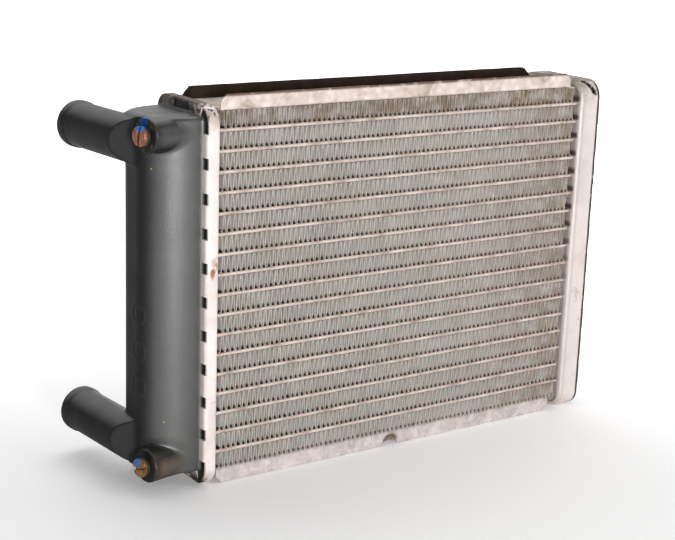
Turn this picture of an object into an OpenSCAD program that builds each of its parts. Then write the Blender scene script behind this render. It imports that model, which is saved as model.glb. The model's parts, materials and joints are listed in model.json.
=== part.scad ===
// Heater radiator core: a brazed aluminium tube-and-fin block with a moulded
// inlet/outlet tank crimped to its left header and a low return tank on its
// right header.
// Origin: on the edge of the lower front flange that the core stands on,
// half way between the headers.
// +X points to the return tank, +Y to the hose stubs (the rear), +Z up.

/* [Core] */
// Distance between neighbouring flat tubes
tube_pitch = 9; // [8.8:0.1:9.2]
// Number of flat tubes
tube_n = 17; // [17]
// Outside thickness of a flat tube
tube_t = 1.6; // [1.4:0.1:1.8]
// Wall of a flat tube
tube_wall = 0.35; // [0.3:0.05:0.45]
// Depth of the core, front to back
core_d = 42; // [41:0.2:42.4]
// Visible length of the fins between the headers
fin_l = 200.6; // [198:0.2:201]
// Fin folds in one row
fin_folds = 78; // [60:1:80]
// Thickness of the fin foil
fin_foil = 0.16; // [0.12:0.02:0.2]

/* [Side plates] */
// Thickness of the side plate sheet
plate_t = 1; // [0.8:0.1:1.2]
// Height of a side plate flange from the fins
flange_h = 7.1; // [6.8:0.1:7.2]
// Chamfer at the flange corners
flange_cut = 3; // [2:0.5:4]
// Length of a side plate
plate_l = 195.8; // [194:0.2:196]
// Thickness of the foam seal on the top plate
strip_t = 4.4; // [4:0.1:4.6]
// Height of the foam seal
strip_h = 5.2; // [4.8:0.1:5.6]

/* [Headers] */
// Outside depth of a header tray, front to back
tray_d = 47.4; // [47.2:0.1:47.6]
// Outside height of a header tray
tray_h = 170; // [169.6:0.1:170.2]
// Outside corner radius of a header tray
tray_r = 8.5; // [8:0.1:9]
// Thickness of the header sheet
tray_t = 1.1; // [1:0.1:1.2]
// Length of the lip of a bent crimp tab
tab_lip = 4.2; // [3.6:0.1:4.4]
// Width of a crimp tab
tab_w = 10; // [9:0.1:10.6]
// Distance between neighbouring crimp tabs
tab_pitch = 15.08; // [15:0.02:15.1]

/* [Inlet and outlet tank] */
// Width of the flat outer face of the tank
tank_flat = 7.2; // [7:0.1:7.4]
// Depth of the tank body at the header, front to back
tank_d = 38.8; // [38.4:0.1:39]
// Wall of the tank moulding
tank_wall = 2.2; // [2:0.1:2.4]
// Outside radius of a hose stub
stub_r = 10; // [9.8:0.1:10]
// Outside radius of the low bead at the end of a hose stub
bead_r = 10.55; // [10.5:0.05:10.7]
// Bore radius of a hose stub
stub_bore_r = 7.8; // [7.5:0.1:8]
// Splay of each hose stub away from the core, degrees
stub_splay = 5; // [4.5:0.1:6]
// Outside radius of a screw boss
boss_r = 7.6; // [7.4:0.1:7.7]
// Tilt of a screw boss towards the front, degrees
boss_tilt = 12; // [11:0.5:13]

/* [Screws] */
// Radius of a bleed or drain screw head
head_r = 4.3; // [4.2:0.1:4.5]
// Height of a screw head
head_h = 1.9; // [1.8:0.1:2.2]
// Shank radius of a screw
shank_r = 2.95; // [2.9:0.01:2.96]
// Radius of the threaded passage in a boss
boss_bore_r = 3; // [3]
// Shank length of a screw
shank_l = 14; // [12:0.5:15]

/* [Hidden] */

function numbered(name, i) = str(name, i < 10 ? "_0" : "_", i);

gap = 0.02;                       // brazed or seated joint left open
lap = 0.01;                       // overlap of joined solids

// heights of the core
tube_span = (tube_n - 1) * tube_pitch;        // lowest to highest tube axis
web_z = tube_span / 2 + tube_pitch - tube_t / 2; // plate inner face from mid_z
mid_z = web_z + flange_h;                     // middle of the core
tray_z = mid_z - 2;                           // middle of both trays
part_z = mid_z + tube_pitch / 2;              // partition, between two tubes

// header stations along X
left_x = -101.8;                  // core side of the left header
left_fold = -108.6;               // outer face of the bent tabs
right_x = 100.4;                  // core side of the right header
right_fold = 113.6;               // outer face of the bent tabs
lip_t = 0.9;                      // thickness of the bent lips
foot_t = 3.2;                     // thickness of the inlet/outlet tank foot
left_foot_x = left_fold + lip_t + gap;        // outer face of that foot
right_gasket_x = right_x + tray_t + 1.6;      // outer face of the right gasket

// height of tube number i; half numbers lie between tubes
function row_z(i) = mid_z - tube_span / 2 + (i - 1) * tube_pitch;

// the modules are drawn about the middle of the core's depth; this moves them
// so that y = 0 is the middle of the front flange's edge
module place() { translate([0, core_d / 2 - plate_t / 2, 0]) children(); }

// ---- flat helpers -------------------------------------------------------

// rounded rectangle, centred, exact arcs
module rounded_rect(w, h, r) {
    square([w - 2 * r, h], center = true);
    square([w, h - 2 * r], center = true);
    for (sx = [-1, 1], sy = [-1, 1])
        translate([sx * (w / 2 - r), sy * (h / 2 - r)]) circle(r = r, $fn = 64);
}

// stadium, w long and t thick, centred
module stadium(w, t) {
    square([w - t, t], center = true);
    for (side = [-1, 1])
        translate([side * (w / 2 - t / 2), 0]) circle(r = t / 2, $fn = 48);
}

// sweep a Y-Z profile along X from x0 to x1
module along_x(x0, x1) {
    translate([x0, 0, 0]) rotate([90, 0, 90]) linear_extrude(x1 - x0) children();
}

// outline that fits inside a tray, for gaskets and tank feet
module foot_outline() {
    inset = tray_t + 0.05;
    rounded_rect(tray_d - 2 * inset, tray_h - 2 * inset, tray_r - inset);
}

// ---- core ---------------------------------------------------------------

tube_reach = 1.2;                 // tube end beyond the tray floor
fin_inset = 0.1;                  // fin edge behind the front and rear of the core
fin_end = 0.3;                    // fin ribbon short of fin_l at each end
fin_h = tube_pitch - tube_t - 2 * gap;
ribbon_h = fin_foil * 2.9;        // height of the ribbon, measured along Z

module tube(i) {
    color([0.80, 0.74, 0.68])
    translate([0, 0, row_z(i)])
    along_x(left_x - tray_t - tube_reach, right_x + tray_t + tube_reach) difference() {
        stadium(core_d, tube_t);
        stadium(core_d - 2 * tube_wall, tube_t - 2 * tube_wall);
    }
}

// fold line k on the middle of the zig-zag ribbon
function fold_x(k) = -fin_l / 2 + fin_end + k * (fin_l - 2 * fin_end) / (2 * fin_folds);
function fold_z(k) = (k % 2 == 0 ? -1 : 1) * (fin_h - ribbon_h) / 2;

// fin row i lies under tube i: upper side of the ribbon, then back along the lower
module fin(i) {
    last = 2 * fin_folds;
    color([0.60, 0.62, 0.58])
    translate([0, core_d / 2 - fin_inset, row_z(i - 0.5)])
    rotate([90, 0, 0]) linear_extrude(core_d - 2 * fin_inset)
    polygon(concat(
        [for (k = [0:last]) [fold_x(k), fold_z(k) + ribbon_h / 2]],
        [for (k = [last:-1:0]) [fold_x(k), fold_z(k) - ribbon_h / 2]]));
}

// ---- side plates and seal -----------------------------------------------

plate_x = -100.7;                 // left end of the side plates
strip_x = -101.6;                 // left end of the foam seal
strip_y = 12.6;                   // rear face of the foam seal
strip_l = 196;
strip_edge = 0.6;                 // upright part of the seal ends
strip_slope_left = 3.4;           // run of the slope at each end
strip_slope_right = 3.6;

module flange_outline() {
    polygon([[0, 0], [plate_l, 0], [plate_l, flange_h - flange_cut],
             [plate_l - flange_cut, flange_h], [flange_cut, flange_h],
             [0, flange_h - flange_cut]]);
}

// web on the fins, with flanges pointing away from them;
// flange_ys lists the rear faces of the flanges, from the front of the core
module side_plate(flange_ys) {
    translate([plate_x, -core_d / 2, 0]) {
        cube([plate_l, core_d, plate_t]);
        for (y = flange_ys)
            translate([0, y, 0]) rotate([90, 0, 0]) linear_extrude(plate_t) flange_outline();
    }
}

// front flange only, which leaves the rear part of the web to the seal
module top_side_plate() {
    color([0.88, 0.84, 0.80]) translate([0, 0, mid_z + web_z]) side_plate([plate_t]);
}

module bottom_side_plate() {
    color([0.88, 0.84, 0.80])
    translate([0, 0, mid_z - web_z]) mirror([0, 0, 1]) side_plate([plate_t, core_d]);
}

// foam seal standing on the web of the top plate
module seal_strip() {
    color([0.14, 0.10, 0.08])
    translate([strip_x, strip_y, mid_z + web_z + plate_t + gap])
    rotate([90, 0, 0]) linear_extrude(strip_t)
    polygon([[0, 0], [strip_l, 0], [strip_l, strip_edge],
             [strip_l - strip_slope_right, strip_h], [strip_slope_left, strip_h],
             [0, strip_edge]]);
}

// ---- headers ------------------------------------------------------------

tab_z = 85.5;                     // middle of the tab pattern
tab_depth = 1;                    // tab roots to the outer face of the tabs
lip_clear = 1.2;                  // depth of the cut that opens the lips
lip_opening_r = 2.8;              // corner radius of that opening
corner_cut = 14;                  // square cut that opens a crimp corner
corner_out_y = 1.1;               // its middle, outside the long side
corner_in_z = 4.5;                // its middle, inside the short side
notch_depth = 12;                 // notch across the tray edge
end_notch_w = 2.6;                // notches of the short sides
end_notch_y = 5.6;

// slots for the flat tubes
module tube_slots(x0, x1) {
    for (i = [1:tube_n])
        translate([0, 0, row_z(i)])
        along_x(x0, x1) stadium(core_d + 2 * gap, tube_t + 2 * gap);
}

// tray drawn with its floor at x = 0 and its tabs bent in at x = deep
module tray(deep) {
    // cut from the tab roots outwards, centred on y and z
    module rim_cut(y, z, w, h) {
        translate([deep - tab_depth, y - w / 2, z - h / 2]) cube([deep, w, h]);
    }
    notch_w = tab_pitch - tab_w;
    difference() {
        along_x(0, deep) rounded_rect(tray_d, tray_h, tray_r);
        along_x(tray_t, deep - lip_t)
            rounded_rect(tray_d - 2 * tray_t, tray_h - 2 * tray_t, tray_r - tray_t);
        along_x(deep - lip_clear, deep + 1)
            rounded_rect(tray_d - 2 * tab_lip, tray_h - 2 * tab_lip, lip_opening_r);
        // open corners of the crimp
        for (sy = [-1, 1], sz = [-1, 1])
            rim_cut(sy * (tray_d / 2 + corner_out_y), sz * (tray_h / 2 - corner_in_z),
                    corner_cut, corner_cut);
        // notches between the tabs of the long sides
        for (k = [-4:4], sy = [-1, 1])
            rim_cut(sy * tray_d / 2, tab_z - tray_z + k * tab_pitch, notch_depth, notch_w);
        // notches between the three tabs of the short sides
        for (sz = [-1, 1], sy = [-1, 1])
            rim_cut(sy * end_notch_y, sz * tray_h / 2, end_notch_w, notch_depth);
    }
}

module left_header() {
    color([0.93, 0.89, 0.88]) difference() {
        translate([left_x, 0, tray_z]) mirror([1, 0, 0]) tray(left_x - left_fold);
        tube_slots(left_x - 3, left_x + 1);
    }
}

module right_header() {
    color([0.93, 0.89, 0.88]) difference() {
        translate([right_x, 0, tray_z]) tray(right_fold - right_x);
        tube_slots(right_x - 1, right_x + 3);
    }
}

// ---- gaskets ------------------------------------------------------------

window_play_y = 0.4;              // gasket window beyond the tubes, both sides together
window_play_z = 2;
window_r = 1.2;
gasket_bar = 3;                   // height of the bar across the left gasket

// ring that seals a tank foot on the tray floor, round the tube ends
module gasket_ring() {
    difference() {
        foot_outline();
        translate([0, mid_z - tray_z])
            rounded_rect(core_d + window_play_y, tube_span + tube_t + window_play_z, window_r);
    }
}

// with a bar across it that keeps the inlet and outlet chambers apart
module left_gasket() {
    color([0.08, 0.08, 0.08]) translate([0, 0, tray_z])
    along_x(left_foot_x + foot_t + gap, left_x - tray_t - gap) {
        gasket_ring();
        translate([0, part_z - tray_z]) square([core_d + 1, gasket_bar], center = true);
    }
}

module right_gasket() {
    color([0.08, 0.08, 0.08]) translate([0, 0, tray_z])
    along_x(right_x + tray_t + gap, right_gasket_x) gasket_ring();
}

// ---- inlet and outlet tank ----------------------------------------------

tank_x = -131.5;                  // outer face of the tank
flank_x = -110;                   // where the flanks start to curve
tank_z0 = 6.8;                    // tank body, lower end
tank_z1 = 165.3;                  // tank body, upper end
part_t = 2.5;                     // thickness of the partition

stub_x = -130;                    // stub axis where it leaves the tank
stub_y = -2.8;
stub_zs = [153.9, 19.9];          // upper and lower stub
stub_l = 50.4;
stub_root = 8;                    // stub length in front of its origin
stub_bore_at = 7.5;               // start of the bore
bead_at = 46.5;                   // start and length of the bead
bead_l = 3.3;
root_flat_turn = 50;              // direction of the flat at a stub root, degrees
root_flat_cut = [30, 60, 40];     // block that cuts the flat

boss_x = -132.9;                  // end face of the screw bosses
boss_y = -15;
bleed_z = 158.3;                  // upper boss
drain_z = 12.9;                   // lower boss
boss_zs = [bleed_z, drain_z];
boss_h = 22;                      // length of a boss, most of it inside the tank
sleeve_r = 5;                     // part of a boss left standing in a chamber
sleeve_h = 16;
boss_bore_l = 18;                 // passage, from 1 mm outside the end face

// D section in X and Y: flat outer face, elliptical flanks, shrunk by inset
module d_section(inset, x1) {
    bulge = flank_x - tank_x - inset;
    flank = tank_d / 2 - tank_flat / 2 - inset;
    polygon(concat(
        [[x1, -tank_d / 2 + inset]],
        [for (a = [0:5:90]) [flank_x - bulge * sin(a), -tank_flat / 2 - flank * cos(a)]],
        [for (a = [90:-5:0]) [flank_x - bulge * sin(a), tank_flat / 2 + flank * cos(a)]],
        [[x1, tank_d / 2 - inset]]));
}

// upright D-shaped block from z0 to z1
module d_block(z0, z1, inset, x1) {
    translate([0, 0, z0]) linear_extrude(z1 - z0) d_section(inset, x1);
}

// put children on a stub axis, +Z of the child along the stub
module on_stub(z) {
    translate([stub_x, stub_y, z]) rotate([0, 0, stub_splay]) rotate([-90, 0, 0]) children();
}

// plain wall with a low bead at the end, which holds the hose back
module stub_body() {
    bead_end = bead_at + bead_l;
    translate([0, 0, -stub_root]) cylinder(r = stub_r, h = bead_at + stub_root, $fn = 96);
    translate([0, 0, bead_at - lap]) cylinder(r = bead_r, h = bead_l + lap, $fn = 96);
    translate([0, 0, bead_end - lap])
        cylinder(r1 = bead_r - 0.02, r2 = stub_r + 0.05, h = stub_l - bead_end + lap, $fn = 96);
}

// block that cuts the slanted flat at the root of a stub, facing the front left
module root_flat(z) {
    translate([tank_x, -tank_flat / 2, z - root_flat_cut.z / 2])
    rotate([0, 0, root_flat_turn])
    translate([-root_flat_cut.x, -root_flat_cut.y / 2, 0]) cube(root_flat_cut);
}

// put children on a boss axis, +Z of the child pointing into the tank
module on_boss(z) {
    translate([boss_x, boss_y, z]) rotate([0, 0, boss_tilt]) rotate([0, 90, 0]) children();
}

// room inside the tank from z0 to z1, with the boss sleeves left standing
module chamber(z0, z1) {
    difference() {
        d_block(z0, z1, tank_wall, left_foot_x + foot_t + 1);
        for (z = boss_zs)
            on_boss(z) cylinder(r = sleeve_r, h = sleeve_h, $fn = 96);
    }
}

module inlet_outlet_tank() {
    color([0.17, 0.17, 0.17]) difference() {
        union() {
            d_block(tank_z0, tank_z1, 0, left_foot_x + 1);
            translate([0, 0, tray_z]) along_x(left_foot_x, left_foot_x + foot_t) foot_outline();
            for (z = stub_zs) difference() {
                on_stub(z) stub_body();
                root_flat(z);
            }
            for (z = boss_zs)
                on_boss(z) cylinder(r = boss_r, h = boss_h, $fn = 96);
        }
        // lower and upper chambers, with the partition between them
        chamber(tank_z0 + tank_wall, part_z - part_t / 2);
        chamber(part_z + part_t / 2, tank_z1 - tank_wall);
        for (z = stub_zs)
            on_stub(z) translate([0, 0, stub_bore_at])
                cylinder(r = stub_bore_r, h = stub_l, $fn = 96);
        for (z = boss_zs)
            on_boss(z) translate([0, 0, -1]) cylinder(r = boss_bore_r, h = boss_bore_l, $fn = 64);
    }
}

// ---- return tank --------------------------------------------------------

cover_out = 3.4;                  // cover beyond the bent tabs
cover_h = tray_h - 8.8;
cover_r = 5;
hollow_r = 3;                     // corner radius of the hollow

// deep foot standing in the tray, low cover beyond the tabs
module return_tank() {
    foot_x0 = right_gasket_x + gap;
    foot_x1 = right_fold - lip_t - gap;
    cover_x = right_fold + cover_out;
    color([0.10, 0.10, 0.10]) translate([0, 0, tray_z]) difference() {
        union() {
            along_x(foot_x0, foot_x1) foot_outline();
            along_x(foot_x1 - 1, cover_x) rounded_rect(tank_d, cover_h, cover_r);
        }
        along_x(foot_x0 - 1, cover_x - tank_wall)
            rounded_rect(tank_d - 2 * tank_wall, cover_h - 2 * tank_wall, hollow_r);
    }
}

// ---- screws and their rings ---------------------------------------------

ring_t = 1.2;                     // section of an O-ring
ring_in = shank_r + 0.04;         // inside radius of an O-ring
step_h = 0.5;                     // narrower step on top of a head
step_in = 0.4;
slot_cut = [12, 1.6, 2.1];        // block that cuts the slot
slot_at = 1.1;                    // its start, above the head

// slotted screw on the boss at height z, its head seated on the O-ring;
// turn is the direction of the slot, degrees
module screw(z, turn) {
    on_boss(z) translate([0, 0, -ring_t - 2 * gap]) {
        difference() {
            union() {
                translate([0, 0, -head_h]) cylinder(r = head_r, h = head_h, $fn = 96);
                translate([0, 0, -head_h - step_h])
                    cylinder(r = head_r - step_in, h = step_h + lap, $fn = 96);
            }
            rotate([0, 0, turn])
            translate([-slot_cut.x / 2, -slot_cut.y / 2, -head_h - slot_at]) cube(slot_cut);
        }
        cylinder(r = shank_r, h = shank_l, $fn = 96);
    }
}

// round-section ring lying on the face of the boss at height z
module o_ring(z) {
    on_boss(z) translate([0, 0, -gap - ring_t / 2]) rotate_extrude($fn = 96)
        translate([ring_in + ring_t / 2, 0]) circle(r = ring_t / 2, $fn = 32);
}

module bleed_screw() { color([0.72, 0.38, 0.26]) screw(bleed_z, turn = 8); }

module bleed_o_ring() { color([0.07, 0.07, 0.07]) o_ring(bleed_z); }

module drain_screw() { color([0.62, 0.42, 0.20]) screw(drain_z, turn = 70); }

module drain_o_ring() { color([0.07, 0.07, 0.07]) o_ring(drain_z); }

// ---- drawing ------------------------------------------------------------

for (i = [1:tube_n])
    place() tube(i);
for (i = [1:tube_n + 1])
    place() fin(i);
place() top_side_plate();
place() bottom_side_plate();
place() seal_strip();
place() left_header();
place() right_header();
place() left_gasket();
place() right_gasket();
place() inlet_outlet_tank();
place() return_tank();
place() bleed_screw();
place() bleed_o_ring();
place() drain_screw();
place() drain_o_ring();
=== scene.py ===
# A radiator. Tubes and folded fins run along X between the inlet and outlet tank at -X
# (left) and the return tank at +X (right). Y is the depth, with the front at -Y, and
# Z is up. Lengths are in mm unless said otherwise; they become metres in meshes and nodes.
import bpy, bmesh, math, json
import numpy as np
from mathutils import Matrix, Vector


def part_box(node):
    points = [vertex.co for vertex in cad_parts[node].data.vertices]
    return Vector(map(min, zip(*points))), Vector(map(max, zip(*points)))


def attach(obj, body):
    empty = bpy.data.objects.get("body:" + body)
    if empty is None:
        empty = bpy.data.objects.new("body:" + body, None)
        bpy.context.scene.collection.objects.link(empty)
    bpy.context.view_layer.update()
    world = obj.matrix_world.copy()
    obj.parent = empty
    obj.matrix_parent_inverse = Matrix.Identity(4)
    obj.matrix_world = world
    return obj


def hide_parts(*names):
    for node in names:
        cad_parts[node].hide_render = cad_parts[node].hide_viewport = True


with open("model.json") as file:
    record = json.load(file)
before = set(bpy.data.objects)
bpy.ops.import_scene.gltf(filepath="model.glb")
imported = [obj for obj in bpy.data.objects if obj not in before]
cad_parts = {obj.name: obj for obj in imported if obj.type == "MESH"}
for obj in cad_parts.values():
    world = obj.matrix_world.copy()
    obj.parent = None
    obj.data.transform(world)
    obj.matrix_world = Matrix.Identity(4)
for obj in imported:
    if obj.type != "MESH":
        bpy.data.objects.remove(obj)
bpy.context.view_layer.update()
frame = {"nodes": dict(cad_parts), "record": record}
MM = 0.001


def box_mm(name):
    lo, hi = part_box(name)
    return np.array(lo) / MM, np.array(hi) / MM


def unit(vector):
    vector = np.array(vector, float)
    return vector / np.linalg.norm(vector)


# ------------------------------------------------------------------ key places
PLATE_LO, PLATE_HI = box_mm("top_side_plate")
LEFT_LO, LEFT_HI = box_mm("left_header")
RIGHT_LO, RIGHT_HI = box_mm("right_header")
TANK_LO, TANK_HI = box_mm("inlet_outlet_tank")
RETURN_LO, RETURN_HI = box_mm("return_tank")
FIN_LO, FIN_HI = box_mm("fin_01")
CORE_Y = (PLATE_LO[1] + PLATE_HI[1]) / 2       # middle of the core's depth
TRAY_Z = (LEFT_LO[2] + LEFT_HI[2]) / 2         # middle of the header trays
MIDDLE_TUBE_Z = (box_mm("tube_09")[0][2] + box_mm("tube_09")[1][2]) / 2
FIN_ROWS, TUBES, TUBE_PITCH = 18, 17, 9.0

JOINTS = {joint["name"]: joint for joint in frame["record"]["behaviour"]["joints"]}
MOUNTS = {mount["name"]: mount for mount in frame["record"]["mounts"]}
# centres of the boss faces, bleed screw above and drain screw below
BOSSES = [np.array(JOINTS[n + "_screw_turn"]["pos_m"]) / MM for n in ("bleed", "drain")]
BLEED, DRAIN = BOSSES
OUT = unit(JOINTS["bleed_screw_turn"]["axis"])  # out of a boss, along its screw
ACROSS = np.array([OUT[1], -OUT[0], 0.0])       # level direction across a boss face

# inlet and outlet tank: a D section whose outer face is flat
SHOULDER_X = -110                      # where the rounding starts
D_DEPTH, D_ROUND_Y = 21.5, 15.8        # half axes of the rounding, along x and y
FLAT_HALF_Y = 3.6
FLAT_X = SHOULDER_X - D_DEPTH          # flat outer face
FLAT_FRONT_Y = 15.7                    # front edge of the flat
DENT_X, NICK_X = -4.8, -33.0           # knock and nick in the lower front flange


def boss_point(centre, out, across, up):
    """A point given by its distances from a boss face's centre."""
    return tuple(centre + out * OUT + across * ACROSS + np.array([0, 0, up]))


# ------------------------------------------------------------------ seeded noise
def hash01(i, seed=0):
    i = np.asarray(i, float)
    value = np.sin(i * 127.1 + seed * 311.7 + 17.3) * 43758.5453
    return value - np.floor(value)


def noise1(x, seed=0):
    """Smooth noise along a line, from -1 to 1."""
    x = np.asarray(x, float)
    i = np.floor(x)
    share = x - i
    share = share * share * (3 - 2 * share)
    return (hash01(i, seed) * (1 - share) + hash01(i + 1, seed) * share) * 2 - 1


def smooth_step(start, end, x):
    t = np.clip((np.asarray(x, float) - start) / (end - start), 0, 1)
    return t * t * (3 - 2 * t)


# ------------------------------------------------------------------ meshes
def add_piece(name, verts, faces, material, replaces=None, body="core", angle=40, weld=None):
    """Object from points in mm and either an array of quads or a list of faces."""
    mesh = bpy.data.meshes.new(name)
    verts = np.asarray(verts, float) * MM
    if isinstance(faces, np.ndarray):
        mesh.vertices.add(len(verts))
        mesh.vertices.foreach_set("co", verts.astype(np.float32).ravel())
        mesh.loops.add(faces.size)
        mesh.loops.foreach_set("vertex_index", faces.astype(np.int32).ravel())
        mesh.polygons.add(len(faces))
        starts = np.arange(0, faces.size, faces.shape[1], dtype=np.int32)
        mesh.polygons.foreach_set("loop_start", starts)
        mesh.update(calc_edges=True)
        mesh.validate()
    else:
        mesh.from_pydata([tuple(p) for p in verts], [], faces)
        mesh.update()
    if weld:
        bm = bmesh.new()
        bm.from_mesh(mesh)
        bmesh.ops.remove_doubles(bm, verts=bm.verts, dist=weld * MM)
        bmesh.ops.dissolve_degenerate(bm, edges=bm.edges, dist=1e-7)
        bm.to_mesh(mesh)
        bm.free()
    mesh.polygons.foreach_set("use_smooth", np.ones(len(mesh.polygons), bool))
    mesh.set_sharp_from_angle(angle=math.radians(angle))
    piece = bpy.data.objects.new(name, mesh)
    bpy.context.scene.collection.objects.link(piece)
    mesh.materials.append(material)
    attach(piece, body)
    if replaces:
        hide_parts(replaces)
    return piece


def add_bevel(piece, width, angle):
    bevel = piece.modifiers.new("edge", "BEVEL")
    bevel.width = width * MM
    bevel.segments = 2
    bevel.limit_method = "ANGLE"
    bevel.angle_limit = math.radians(angle)


def shell(outer, inner, mask=None, wrap=False):
    """Closed sheet from two matching point grids (rows, columns, 3) and a mask of kept cells.
    With wrap, the last row joins the first."""
    rows, columns = outer.shape[:2]
    cell_rows = rows if wrap else rows - 1
    if mask is None:
        mask = np.ones((cell_rows, columns - 1), bool)
    verts = np.concatenate([outer.reshape(-1, 3), inner.reshape(-1, 3)])
    index = np.arange(rows * columns).reshape(rows, columns)
    to_inner = rows * columns
    i, j = np.nonzero(mask)
    i_next = (i + 1) % rows
    a, b, c, d = index[i, j], index[i_next, j], index[i_next, j + 1], index[i, j + 1]
    faces = [np.stack([a, b, c, d], 1),
             np.stack([a + to_inner, d + to_inner, c + to_inner, b + to_inner], 1)]

    def kept(i, j):
        inside = (j >= 0) & (j < columns - 1)
        if wrap:
            i = i % cell_rows
        else:
            inside = inside & (i >= 0) & (i < cell_rows)
            i = np.clip(i, 0, cell_rows - 1)
        return mask[i, np.clip(j, 0, columns - 2)] & inside

    # a wall along each cell edge that has no kept neighbour
    for neighbour, p, q in ((kept(i, j - 1), a, b), (kept(i, j + 1), c, d),
                            (kept(i + 1, j), b, c), (kept(i - 1, j), d, a)):
        p, q = p[~neighbour], q[~neighbour]
        faces.append(np.stack([p, p + to_inner, q + to_inner, q], 1))
    return drop_unused(verts, np.concatenate(faces))


def drop_unused(verts, faces):
    used = np.unique(faces)
    remap = np.zeros(len(verts), int)
    remap[used] = np.arange(len(used))
    return verts[used], remap[faces]


def nets(field, lo, hi, cell):
    """Surface-nets mesh of field(points) < 0 over a box larger than the solid."""
    count = np.ceil((hi - lo) / cell).astype(int) + 1
    ticks = [lo[i] + cell * np.arange(count[i]) for i in range(3)]
    values = np.empty(tuple(count), np.float32)
    grid_y, grid_z = np.meshgrid(ticks[1], ticks[2], indexing="ij")
    slab = max(1, int(400000 // grid_y.size))          # x layers worked at once
    for i in range(0, count[0], slab):
        xs = ticks[0][i:i + slab]
        points = np.empty((len(xs), *grid_y.shape, 3))
        points[..., 0] = xs[:, None, None]
        points[..., 1] = grid_y
        points[..., 2] = grid_z
        values[i:i + slab] = field(points.reshape(-1, 3)).reshape(points.shape[:3])
    cells = np.array(count) - 1
    sums = np.zeros((cells.prod(), 3))
    hits = np.zeros(cells.prod())
    quads = []
    for axis in range(3):
        first, second = [slice(None)] * 3, [slice(None)] * 3
        first[axis], second[axis] = slice(0, -1), slice(1, None)
        before, after = values[tuple(first)], values[tuple(second)]
        cross = (before < 0) != (after < 0)
        side1, side2 = [k for k in range(3) if k != axis]
        for side in (side1, side2):                    # border edges lack a full ring of cells
            for end in (0, -1):
                border = [slice(None)] * 3
                border[side] = end
                cross[tuple(border)] = False
        ids = np.stack(np.nonzero(cross), 1)
        before, after = before[cross], after[cross]
        crossing = ids.astype(float)
        crossing[:, axis] += before / (before - after)
        corners = []
        for step1, step2 in ((1, 1), (0, 1), (0, 0), (1, 0)):
            near = ids.copy()
            near[:, side1] -= step1
            near[:, side2] -= step2
            number = (near[:, 0] * cells[1] + near[:, 1]) * cells[2] + near[:, 2]
            corners.append(number)
            for k in range(3):
                sums[:, k] += np.bincount(number, crossing[:, k], len(sums))
            hits += np.bincount(number, minlength=len(sums))
        quad = np.stack(corners, 1)
        flip = (before < 0) if axis == 1 else (before >= 0)
        quad[flip] = quad[flip][:, ::-1]
        quads.append(quad)
    quads = np.concatenate(quads)
    used = np.unique(quads)
    verts = lo + cell * sums[used] / hits[used][:, None]
    remap = np.zeros(len(sums), int)
    remap[used] = np.arange(len(used))
    return onto(field, verts, 3, cell * 0.6), remap[quads]


def gradient(field, points, reach=0.02):
    slope = np.empty_like(points)
    for k in range(3):
        shift = np.zeros(3)
        shift[k] = reach
        slope[:, k] = (field(points + shift) - field(points - shift)) / (2 * reach)
    return slope


def onto(field, points, rounds, cap):
    """Newton steps, each no longer than cap, that bring points onto field = 0."""
    for _ in range(rounds):
        value = field(points)
        slope = gradient(field, points)
        square = (slope * slope).sum(1) + 1e-6
        move = -(value / square)[:, None] * slope
        length = np.linalg.norm(move, axis=1)
        move *= np.minimum(1, cap / np.maximum(length, 1e-9))[:, None]
        points = points + move
    return points


# distance helpers: smooth union and intersection, and shapes
def smin(a, b, blend):
    h = np.maximum(blend - np.abs(a - b), 0) / blend
    return np.minimum(a, b) - h * h * blend * 0.25


def smax(a, b, blend):
    return -smin(-a, -b, blend)


def slab_distance(value, lo, hi):
    return np.maximum(lo - value, value - hi)


def rounded_rect(p, q, half_p, half_q, radius):
    x, y = np.abs(p) - half_p + radius, np.abs(q) - half_q + radius
    return np.minimum(np.maximum(x, y), 0) + np.hypot(np.maximum(x, 0), np.maximum(y, 0)) - radius


def boss_frame(points, centre):
    """Distances out of a boss face, across it and up, and the radius from its axis."""
    offset = points - centre
    out, across, up = offset @ OUT, offset @ ACROSS, offset[:, 2]
    return out, across, up, np.hypot(across, up)


def axis_frame(points, origin, axis):
    """Distance along an axis and radius from it."""
    offset = points - origin
    along = offset @ axis
    return along, np.linalg.norm(offset - along[:, None] * axis, axis=1)


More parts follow.
